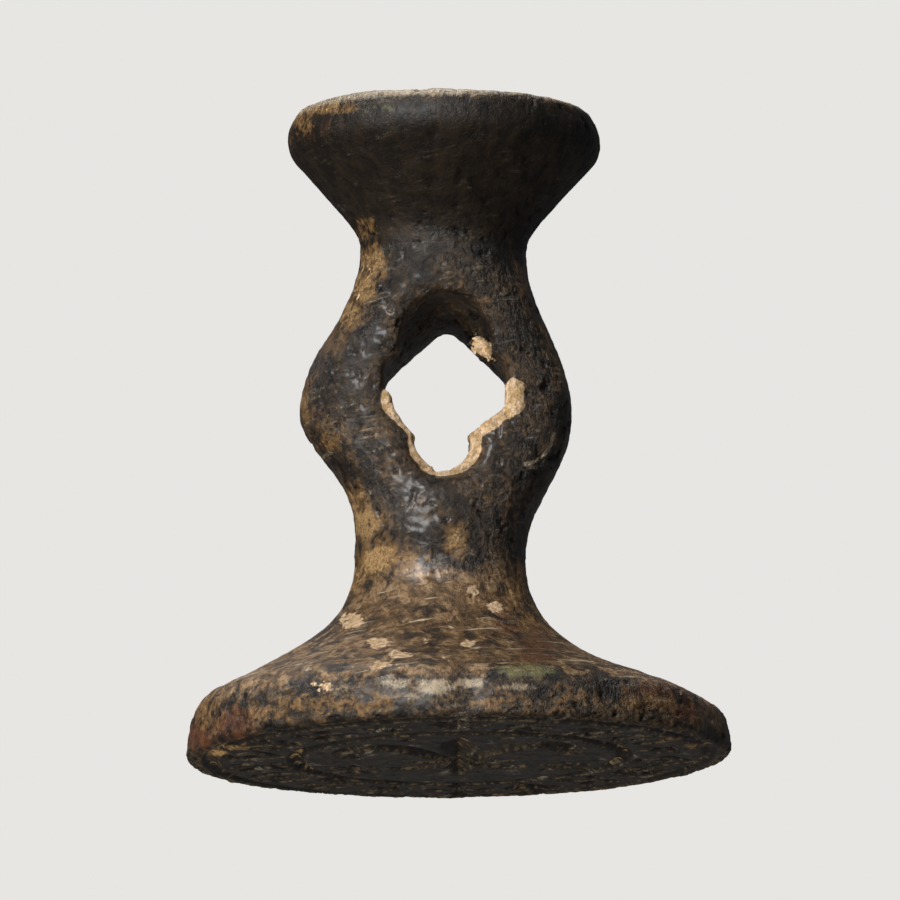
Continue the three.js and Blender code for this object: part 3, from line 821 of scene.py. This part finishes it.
engravedDie = {
    "radius": 14.0,
    "faceInset": 0.42,          # where the face ends, in from the radius
    "edgeReach": 0.4,           # how far its edge rounds over, outwards and upwards
    "edgeRise": 0.45,
    "edgeRows": 6,
    "edgeBreak": 0.2,           # where the side starts, upwards and in from the radius
    "sideInset": 0.02,
    "sideRows": 60,
    "shoulderRadius": 13.4,
    "shoulderHeight": 2.8,
    "backDegrees": 19.8,
    "backTension": 0.78,
    "settleShare": 0.7,
    "shoulderRound": 0.6,       # how far to each side of the shoulder its rounding starts
    "shoulderRows": 11,
    "faceRow": 0.112,           # spacing of the face's rows
    "finerFrom": (2.1, 4.2, 8.35),  # radii past which a face row has twice the points
    "backRows": 76,
    "columns": 768,
    "bandRadius": 10.6,
    "motifReach": 1.46,
    "bandMotifs": ["lozenge", "leaf", "rosette", "palmette", "cross", "star", "sprig", "crescents", "fleuret",
                   "lozenge", "leaf", "rosette", "star", "palmette", "sprig", "fleuret", "crescents", "star"],
    "askew": 0.05,              # how far a motif is turned, and how far its size strays
    "uneven": 0.06,
    "seed": 3,
    "bandDepth": 0.6,
    "bandLip": 0.05,            # how widely a cut's lips are worn
    "bandShade": 0.42,          # the depth of cut that is shaded in full
    "deviceReach": 6.5,
    "deviceLift": -0.35,
    "deviceDepth": 0.95,
    "deviceLip": 0.06,
    "deviceShade": 1.1,
    "slope": 1.2,
    "rings": [
        {"radius": 12.75, "width": 1.0, "depth": 0.34, "notches": 0, "ripple": 0.0},
        {"radius": 8.4, "width": 1.1, "depth": 0.42, "notches": 96, "ripple": 0.3},
        {"radius": 13.42, "width": 0.5, "depth": 0.14, "notches": 140, "ripple": 0.9},
    ],
    "flats": [(-17.5, 9.0, 0.42), (-88.0, 3.4, 0.34), (196.0, 12.0, 0.16), (118.0, 14.0, 0.2)],
    "flatsFade": (11.5, 13.6),
    "faceSkin": 0.3,            # how strongly the worn skin marks the face, the back and the flange
    "faceSkinEnd": 13.0,
    "backSkin": 0.8,
    "flangeSkin": 1.4,
    "flangeFade": (4.6, 3.2),
    "sunkFade": (3.6, 2.6),
    "look": {"ground": ("ink", "slate"), "specks": 0.7, "packing": 0.5, "wear": 0.7, "gloss": 0.35,
             "wax": 0.12, "dusk": 0.04, "relief": 0.24, "shine": 0.65},
}


# How far the die's outline is worn in, by bearing: flats and nicks as (bearing, spread, depth).
def outlineWear(bearing):
    wear = np.zeros_like(bearing)
    for middle, spread, depth in engravedDie["flats"]:
        away = (np.degrees(bearing) - middle + 180) % 360 - 180
        wear += depth * np.exp(-(away / spread) ** 2)
    return wear


# One ring of the die, leaned and moved by its share of the stem's own lean and offset.
def dieRow(radius, height, count, leanShare, offsetShare):
    c, s = circle(count)
    wear = outlineWear(np.arctan2(s, c)) * smooth(radius, *engravedDie["flatsFade"])
    x = (radius - wear) * c + casting["offset"] * offsetShare
    y = (radius - wear) * s
    turn = math.radians(casting["leanDegrees"]) * leanShare
    z = np.full(count, float(height))
    leaned = [x * math.cos(turn) + z * math.sin(turn), y, z * math.cos(turn) - x * math.sin(turn)]
    return np.stack(leaned, axis=1)


# How many points a row of a face has: half as many inside each radius where it gets finer.
def faceColumns(size, radius):
    return size["columns"] >> sum(bool(radius <= limit) for limit in size["finerFrom"])


def addRings(cut, x, y, size):
    for ring in size["rings"]:
        cut = np.maximum(cut, grooveDepth(x, y, ring))
    return cut


def makeEngravedDie():
    size = engravedDie
    flat = size["radius"] - size["faceInset"]
    steps = round(flat / size["faceRow"])
    rows = [np.zeros((1, 3))]
    for radius in np.arange(1, steps + 1) * flat / steps:
        rows.append(dieRow(radius, 0, faceColumns(size, radius), 0, 0))
    faceCount = sum(len(row) for row in rows)
    # The edge rounds over from the face, then draws in to the shoulder as it takes up the lean.
    for share in np.linspace(0.15, 1, size["edgeRows"]):
        bend = share * math.pi / 2
        radius = flat + size["edgeReach"] * math.sin(bend)
        rows.append(dieRow(radius, size["edgeRise"] * (1 - math.cos(bend)), size["columns"], 0, 0))
    neck = (casting["lowerNeckRadius"], casting["lowerNeckHeight"])
    shoulder = np.array([size["shoulderRadius"], size["shoulderHeight"]])
    settled = mixed(shoulder[0], neck[0], size["settleShare"])
    shares = np.linspace(0.14, 1, size["sideRows"])
    side = np.stack([mixed(size["radius"] - size["sideInset"], shoulder[0], shares ** 2),
                     mixed(size["edgeBreak"], shoulder[1], shares)], axis=1)
    slope = -math.tan(math.radians(size["backDegrees"]))
    shares = np.linspace(1, 0, size["backRows"])
    back = np.array(sweepProfile(neck, shoulder, slope, size["backTension"], shares))
    below = side[np.linalg.norm(side - shoulder, axis=1) > size["shoulderRound"]]
    above = back[np.linalg.norm(back - shoulder, axis=1) > size["shoulderRound"]]
    shares = np.linspace(0, 1, size["shoulderRows"])[1:-1, None]
    turn = mixed(mixed(below[-1], shoulder, shares), mixed(shoulder, above[0], shares), shares)
    for radius, height in np.concatenate([below[::3], turn, above]):
        share = min((height - size["edgeBreak"]) / (shoulder[1] - size["edgeBreak"]), 1)
        moved = 1 - smooth(radius, settled, shoulder[0])
        rows.append(dieRow(radius, height, size["columns"] // 2, share, moved))
    for lift in np.linspace(casting["seamFirst"], casting["seamOverlap"], casting["seamRows"]):
        rows.append(dieRow(neck[0], neck[1] + lift, size["columns"] // 2, 1, 1))
    mesh = skinRows("engravedDie", rows)
    points = pointsOf(mesh)
    x, y = points[:faceCount, :2].T
    strokes = bandStrokes("bandMotif", size)
    band = cutDepth(x, y, strokes, size["slope"], size["bandDepth"], size["bandLip"])
    band = addRings(band, x, y, size)
    strokes = plainStrokes(deviceOf(size["deviceReach"]), size["deviceLift"], -1)
    device = cutDepth(x, y, strokes, size["slope"], size["deviceDepth"], size["deviceLip"])
    points[:faceCount, 2] += np.maximum(band, device)
    mesh.vertices.foreach_set("co", points.ravel())
    shade = np.zeros(len(points))
    shade[:faceCount] = np.maximum(band / size["bandShade"], device / size["deviceShade"])
    setAttribute(mesh, "cut", shade)
    skin = mixed(size["backSkin"], size["flangeSkin"], smooth(points[:, 2], *size["flangeFade"]))
    onEdge = smooth(np.hypot(x, y), size["faceSkinEnd"], flat)
    skin[:faceCount] = mixed(size["faceSkin"], 1.0, onEdge)
    setAttribute(mesh, "skin", skin)
    setAttribute(mesh, "sunk", smooth(points[:, 2], *size["sunkFade"]))
    return mesh


smallDie = {
    "radius": 8.0,
    "height": 7.4,
    "flareDegrees": 48.0,
    "flareTension": 0.97,
    "rimRound": 1.4,            # how the flare turns into the rim, below its widest place
    "rimInset": 0.75,           # and how the rim turns into the face
    "rimHeight": 1.55,
    "underRows": 6,
    "rimRows": 14,
    "columns": 640,
    "faceRow": 0.095,
    "finerFrom": (1.1, 2.2, 4.4),
    "flareRows": 66,
    "deviceReach": 5.45,
    "deviceDepth": 0.8,
    "deviceLip": 0.05,
    "deviceShade": 0.45,
    "slope": 1.2,
    "rings": [
        {"radius": 6.95, "width": 0.62, "depth": 0.26, "notches": 88, "ripple": 0.4},
    ],
    "faceSkin": 0.35,
    "faceSkinEnd": 6.9,
    "flareSkin": 0.55,          # the skin is smoother between the neck and the rim
    "flareStart": (0.8, 2.4),
    "flareEnd": (6.4, 5.4),
    "sunkFade": (5.9, 6.9),
    "look": {"ground": ("drab", "ash"), "specks": 0.5, "packing": 0.12, "wear": 0.6, "gloss": 0.34,
             "wax": 0.15, "dusk": 0.14, "relief": 0.22, "shine": 0.45},
}


def levelRow(radius, height, count):
    c, s = circle(count)
    return np.stack([radius * c, radius * s, np.full(count, height)], axis=1)


# The small die in the stem's own frame, from its neck up to the middle of its face.
def makeSmallDie():
    size = smallDie
    widest = size["height"] - size["rimHeight"]

    # A place on the rim's curve: how far it is turned, and how far it draws in and rises by then.
    def rimPoint(turn, inset, rise):
        return size["radius"] - inset * (1 - math.cos(turn)), widest + rise * math.sin(turn)

    neck, flare = casting["upperNeckRadius"], math.radians(size["flareDegrees"])
    lifts = np.linspace(casting["seamOverlap"], casting["seamFirst"], casting["seamRows"])
    profile = [(neck, -lift) for lift in lifts]
    angle = flare - math.pi / 2
    rimStart = rimPoint(angle, size["rimRound"], size["rimRound"])
    shares = np.linspace(0, 1, size["flareRows"])
    profile += sweepProfile((neck, 0), rimStart, math.tan(flare), size["flareTension"], shares)
    for turn in np.linspace(angle, 0, size["underRows"])[1:]:
        profile.append(rimPoint(turn, size["rimRound"], size["rimRound"]))
    for turn in np.linspace(0, math.pi / 2, size["rimRows"])[1:]:
        profile.append(rimPoint(turn, size["rimInset"], size["rimHeight"]))
    rows = [levelRow(radius, height, size["columns"] // 2 if height < widest else size["columns"])
            for radius, height in profile]
    sideCount = sum(len(row) for row in rows)
    flat = size["radius"] - size["rimInset"]
    steps = round(flat / size["faceRow"])
    for i in range(1, steps):
        radius = flat * (1 - i / steps)
        rows.append(levelRow(radius, size["height"], faceColumns(size, radius)))
    rows.append(np.array([[0, 0, size["height"]]]))
    mesh = skinRows("smallDie", rows)
    points = pointsOf(mesh)
    x, y = points[sideCount:, :2].T
    strokes = plainStrokes(deviceOf(size["deviceReach"]), 0, 1)
    cut = cutDepth(x, y, strokes, size["slope"], size["deviceDepth"], size["deviceLip"])
    cut = addRings(cut, x, y, size)
    points[sideCount:, 2] -= cut
    mesh.vertices.foreach_set("co", points.ravel())
    shade = np.zeros(len(points))
    shade[sideCount:] = cut / size["deviceShade"]
    setAttribute(mesh, "cut", shade)
    height = points[:, 2]
    skin = np.ones(len(points))
    skin[sideCount:] = mixed(size["faceSkin"], 1.0, smooth(np.hypot(x, y), size["faceSkinEnd"], flat))
    onFlare = smooth(height, *size["flareStart"]) * smooth(height, *size["flareEnd"])
    setAttribute(mesh, "skin", skin * mixed(1.0, size["flareSkin"], onFlare))
    setAttribute(mesh, "sunk", smooth(height, *size["sunkFade"]))
    mesh.transform(stemMatrix(upperNeckHeight))
    return mesh


piercedBow = {
    "widestHeight": 7.45,
    "leftReach": 7.2,
    "rightReach": 6.62,
    "lowerLeftEase": 2,         # how quickly its lower left narrows to the neck
    "halfThickness": 3.55,
    "squareness": 2.5,
    "holeHeight": 8.2,
    "holeOffset": 0.18,
    "holeUpperSide": 4.38,      # how far across and up together its edges stand
    "holeLowerSide": 4.12,
    "holeHalfWidth": 3.15,
    "holeTop": 3.94,
    "holeRagged": 0.3,
    "frontLobeRadius": 2.35,    # in front its side and upper lobes are still round
    "frontLobeReach": 4.85,
    "sideLobeRadius": 2.2,
    "bottomLobeRadius": 1.75,
    "bottomLobeReach": 4.56,
    "mouthRound": 1.8,          # how widely the hole's mouth is rounded
    "crustThickness": 0.34,     # half the width of the crust's lip
    "crustDepth": 3.05,         # how near the bow's flat side the crust comes
    "crustShift": 0.2,          # how far it stands further in, at the bottom and at the left
    "crustRightShift": 0.22,    # how far it stands further out, in the right lobe
    "knobAlong": -0.3,          # the lump at the upper right, along the hole's edge and out from it
    "knobOut": 4.2,
    "knobFront": -1.9,
    "knobSizes": (0.8, 0.42, 1.0),
    "bounds": (-8.2, 7.4, 5.0),     # how far its field reaches: left, right, and front and back
    "voxel": 0.1,
    "skin": 1.25,
    "look": {"ground": ("ink", "slate"), "specks": 0.45, "packing": 0.8, "wear": 0.7, "gloss": 0.27,
             "wax": 0.36, "dusk": 0.26, "relief": 0.3, "shine": 0.62},
}


# The bow as a field of distances: a swelling body, less a four-lobed hole, with crust inside it.
def makeBowTree():
    size = piercedBow
    g = Shaper("piercedBow", {
        "Left Reach": ("Float", size["leftReach"]), "Right Reach": ("Float", size["rightReach"]),
        "Half Thickness": ("Float", size["halfThickness"]), "Mouth": ("Float", size["mouthRound"]),
        "Crust": ("Float", size["crustThickness"]), "Crust Depth": ("Float", size["crustDepth"]),
        "Voxel": ("Float", size["voxel"]), "Material": ("Material", None)}, hasMesh=False)
    x, y, z = g.split(g.place)
    length, widest = casting["bowLength"], size["widestHeight"]
    above = z.calc("GREATER_THAN", widest)
    reach = g.mixValue(above, widest, length - widest)
    distance = (abs(z - widest) / reach).calc("MINIMUM", 1.0)
    share = ((distance * math.pi).calc("COSINE") + 1) / 2
    neck = g.mixValue(z / length, casting["lowerNeckRadius"], casting["upperNeckRadius"])
    left = g.mixValue(g.mixValue(above, share ** size["lowerLeftEase"], share), neck, g["Left Reach"])
    right = g.mixValue(share, neck, g["Right Reach"])
    halfThickness = g.mixValue(share, neck, g["Half Thickness"])
    power = share * (size["squareness"] - 2) + 2
    across = x - (right - left) / 2
    form = (abs(across) * 2 / (left + right)) ** power + (abs(y) / halfThickness) ** power
    form = (form ** (1 / power)).calc("MAXIMUM", 0.05)
    body = (across * across + y * y).calc("SQRT") * (1 - 1 / form)

    # How far a place stands outside a lobe, from where it is beside the lobe's middle.
    def outsideLobe(sideways, upwards, radius):
        return (sideways * sideways + upwards * upwards).calc("SQRT") - radius

    # The hole's upper lobes are worn into a diamond, and its bottom lobe keeps its cusps.
    aside, rise = x - size["holeOffset"], z - size["holeHeight"]
    diagonal = 0.7071
    stand = g.mixValue(g.step(rise, -0.8, 0.8), size["holeLowerSide"], size["holeUpperSide"])
    diamond = (abs(aside) + abs(rise) - stand) * diagonal
    diamond = diamond.calc("SMOOTH_MAX", abs(aside) - size["holeHalfWidth"], 0.5)
    diamond = diamond.calc("SMOOTH_MAX", rise - size["holeTop"], 0.5)
    lobeRise = rise - size["frontLobeReach"] + size["frontLobeRadius"]
    lobeAside = abs(aside) - size["holeHalfWidth"] + size["sideLobeRadius"]
    lobes = outsideLobe(aside, lobeRise, size["frontLobeRadius"])
    lobes = lobes.calc("SMOOTH_MIN", outsideLobe(lobeAside, rise, size["sideLobeRadius"]), 1.0)
    inFront = g.step(y, 2.4, -2.4) * g.step(rise, 0.0, 1.4)
    upper = g.mixValue(inFront, diamond, lobes.calc("MINIMUM", diamond))
    lobeRise = rise + size["bottomLobeReach"] - size["bottomLobeRadius"]
    bottom = outsideLobe(aside, lobeRise, size["bottomLobeRadius"])
    ragged = g.noise(g.place, 0.9, 3.0, 0.55)
    hole = upper.calc("MINIMUM", bottom) + (ragged - 0.5) * size["holeRagged"]
    mouth = g["Mouth"] * (1 - g.step(rise, 0.5, 3.0) * 0.25)
    metal = body.calc("SMOOTH_MAX", -hole, mouth)

    # Crust makes a lip round the lower lobes, thicker to the right, and one lump at the upper right.
    lump = g.noise(g.place, 0.8, 2.0, 0.5)
    fine = g.noise(g.place, 2.6, 3.0, 0.6)
    low = g.step(rise + aside * -0.12 + (lump - 0.5) * 0.9, 0.5, -0.1)
    atRight = g.step(aside, -0.4, 0.9) * g.step(rise, 0.9, 0.3)
    atLeft = g.step(aside, -1.2, -2.2) * g.step(rise, -1.7, -0.9)
    atBottom = (atRight * g.step(rise, -1.2, -2.6)).calc("MAXIMUM", g.step(rise, -2.6, -3.8))
    inner = (atBottom + atLeft) * size["crustShift"]
    inner = inner - atRight * g.step(rise, -1.5, -0.7) * size["crustRightShift"]
    wide = g["Crust"] * (1 + atRight * 0.25 + atLeft * 0.15) + (lump - 0.5) * 0.25 + (fine - 0.5) * 0.2
    wide = g.mixValue(low.calc("MAXIMUM", atRight), -0.3, wide)
    deep = g["Crust Depth"] + (lump - 0.5) * 0.3 + (fine - 0.5) * 0.2 + atRight * 0.1
    lining = abs(hole - g["Crust"] * 0.55 + inner) - wide
    lining = lining.calc("SMOOTH_MAX", abs(y) - deep, 0.3)
    along = (aside - rise - size["knobAlong"]) * diagonal
    out = (aside + rise - size["knobOut"]) * diagonal
    ways = zip((along, out, y - size["knobFront"]), size["knobSizes"])
    along, out, forward = ((way / reach) ** 2.0 for way, reach in ways)
    knob = (along + out + forward).calc("SQRT") - 1
    lining = lining.calc("MINIMUM", knob * 0.45 + (fine - 0.5) * 0.8)
    solid = metal.calc("SMOOTH_MIN", lining, 0.15)

    reachLeft, reachRight, reachFront = size["bounds"]
    spare = casting["seamOverlap"] + 0.1
    starts, ends = (reachLeft, -reachFront, -spare), (reachRight, reachFront, length + spare)
    values = {"Density": 0.5 - solid, "Background": 0.0, "Min": starts, "Max": ends}
    for axis, start, end in zip("XYZ", starts, ends):
        values["Resolution " + axis] = (end - start) / g["Voxel"]
    cube = g.add("GeometryNodeVolumeCube", None, values)
    mesh = g.add("GeometryNodeVolumeToMesh", {"resolution_mode": "GRID"}, {
        "Volume": cube, "Threshold": 0.5, "Adaptivity": 0.0})
    patchy = g.step(abs(y), 2.0, 2.8).calc("MAXIMUM", g.step(lump + (fine - 0.5) * 0.5, 0.5, 0.62))
    mesh = g.store(mesh, "crust", g.step(metal - lining, -0.03, 0.06) * patchy)
    relaxed = g.add("GeometryNodeBlurAttribute", {"data_type": "FLOAT_VECTOR"}, {
        "Value": g.place, "Iterations": 2}, out=0)
    mesh = g.add("GeometryNodeSetPosition", None, {"Geometry": mesh, "Position": relaxed})
    mesh = g.store(mesh, "skin", size["skin"])
    mesh = g.store(mesh, "sunk", 0.0)
    g.close(mesh, g["Material"])
    return g


def makePiercedBow():
    mesh = bowTree.run(newObject("bowSeed", bpy.data.meshes.new("bowSeed")))
    mesh.transform(stemMatrix(casting["lowerNeckHeight"]))
    return mesh


skinTree, bandTree, bowTree = makeSkinTree(), makeBandTree(), makeBowTree()
lowerSeam, upperSeam = casting["lowerNeckHeight"], upperNeckHeight

print("large die")
finishPiece("engraved_die", makeEngravedDie(), makeBronze("dieBronze", engravedDie["look"]),
            [(lowerSeam, 1)], "seal_die")
print("bow")
finishPiece("pierced_bow", makePiercedBow(), makeBronze("bowBronze", piercedBow["look"]),
            [(lowerSeam, -1), (upperSeam, 1)], "pierced_handle")
print("small die")
finishPiece("small_die", makeSmallDie(), makeBronze("smallBronze", smallDie["look"]),
            [(upperSeam, -1)], "counterseal_die")


def makeWorld():
    world = bpy.data.worlds.new("paleRoom")
    bpy.context.scene.world = world
    g = emptyGraph(world)
    ray = g.node("ShaderNodeLightPath")
    seen, mirrored = (Wire(g, ray.outputs[name]) for name in ("Is Camera Ray", "Is Glossy Ray"))
    tone = g.mixColour(mirrored, studio["ambient"], studio["mirrored"])
    shown = g.add("ShaderNodeBackground", None, [studio["backdrop"], 1.0])
    light = g.add("ShaderNodeBackground", None, [tone, 1.0])
    both = g.add("ShaderNodeMixShader", None, [seen, light, shown])
    g.node("ShaderNodeOutputWorld", None, [both])


# The floor is seen from above only, so that a camera below it still sees the engraved face.
def makeFloor():
    half, drop = studio["floorHalf"], studio["floorDrop"]
    corners = [(-half, -half, drop), (half, -half, drop), (half, half, drop), (-half, half, drop)]
    floor = newObject("floor", meshOf("floor", corners, [(0, 1, 2, 3)]))
    material = bpy.data.materials.new("palePaper")
    g = emptyGraph(material)
    seen = g.add("ShaderNodeLightPath")
    behind = g.add("ShaderNodeNewGeometry", None, None, out=6)
    place = g.add("ShaderNodeTexCoord", None, None, out=3)
    paper = g.mixColour(g.noise(place, studio["paperTooth"], 3.0), *studio["paper"])
    plain = g.add("ShaderNodeBsdfDiffuse", None, [paper])
    clear = g.add("ShaderNodeBsdfTransparent")
    near = g.step(g.vector("LENGTH", place, out=1), *studio["floorFade"])
    both = g.add("ShaderNodeMixShader", None, [seen * near * (1 - behind), clear, plain])
    g.node("ShaderNodeOutputMaterial", None, [both])
    floor.data.materials.append(material)


# Soft lamps: name, place, width and power. The one below leaves no glint.
lamps = [
    ("keyLamp", (-0.14, -0.28, 0.21), 0.12, 1.25),
    ("topLamp", (-0.03, 0.10, 0.34), 0.14, 0.75),
    ("underLamp", (-0.17, -0.14, -0.18), 0.08, 0.72),
    ("glintLamp", (-0.24, -0.22, -0.03), 0.035, 0.14),
]


def makeLamps():
    for name, place, width, power in lamps:
        data = bpy.data.lights.new(name, "AREA")
        data.shape = "DISK"
        data.size = width
        data.energy = power
        lamp = newObject(name, data)
        lamp.location = place
        away = lamp.location - Vector(studio["lampAim"])
        lamp.rotation_euler = away.to_track_quat("Z", "Y").to_euler()
        lamp.visible_camera = False
        lamp.visible_glossy = name != "underLamp"


def makeCamera():
    data = bpy.data.cameras.new("camera")
    data.sensor_width = 36.0
    data.lens = data.sensor_width * studio["distance"] / studio["frameWidth"]
    data.clip_start, data.clip_end = 0.01, 20.0
    camera = newObject("camera", data)
    rise = math.radians(studio["elevation"])
    away = Vector((0, -math.cos(rise), math.sin(rise)))
    camera.location = Vector(studio["aim"]) + away * studio["distance"]
    # The roll stands the stem upright in the picture, so that the large face slopes as in life.
    roll = Matrix.Rotation(math.radians(studio["rollDegrees"]), 4, "Z")
    turn = away.to_track_quat("Z", "Y").to_matrix().to_4x4()
    camera.rotation_euler = (turn @ roll.inverted()).to_euler()
    bpy.context.scene.camera = camera


print("studio")
makeWorld()
makeFloor()
makeLamps()
makeCamera()
bpy.context.scene.view_settings.view_transform = "Standard"
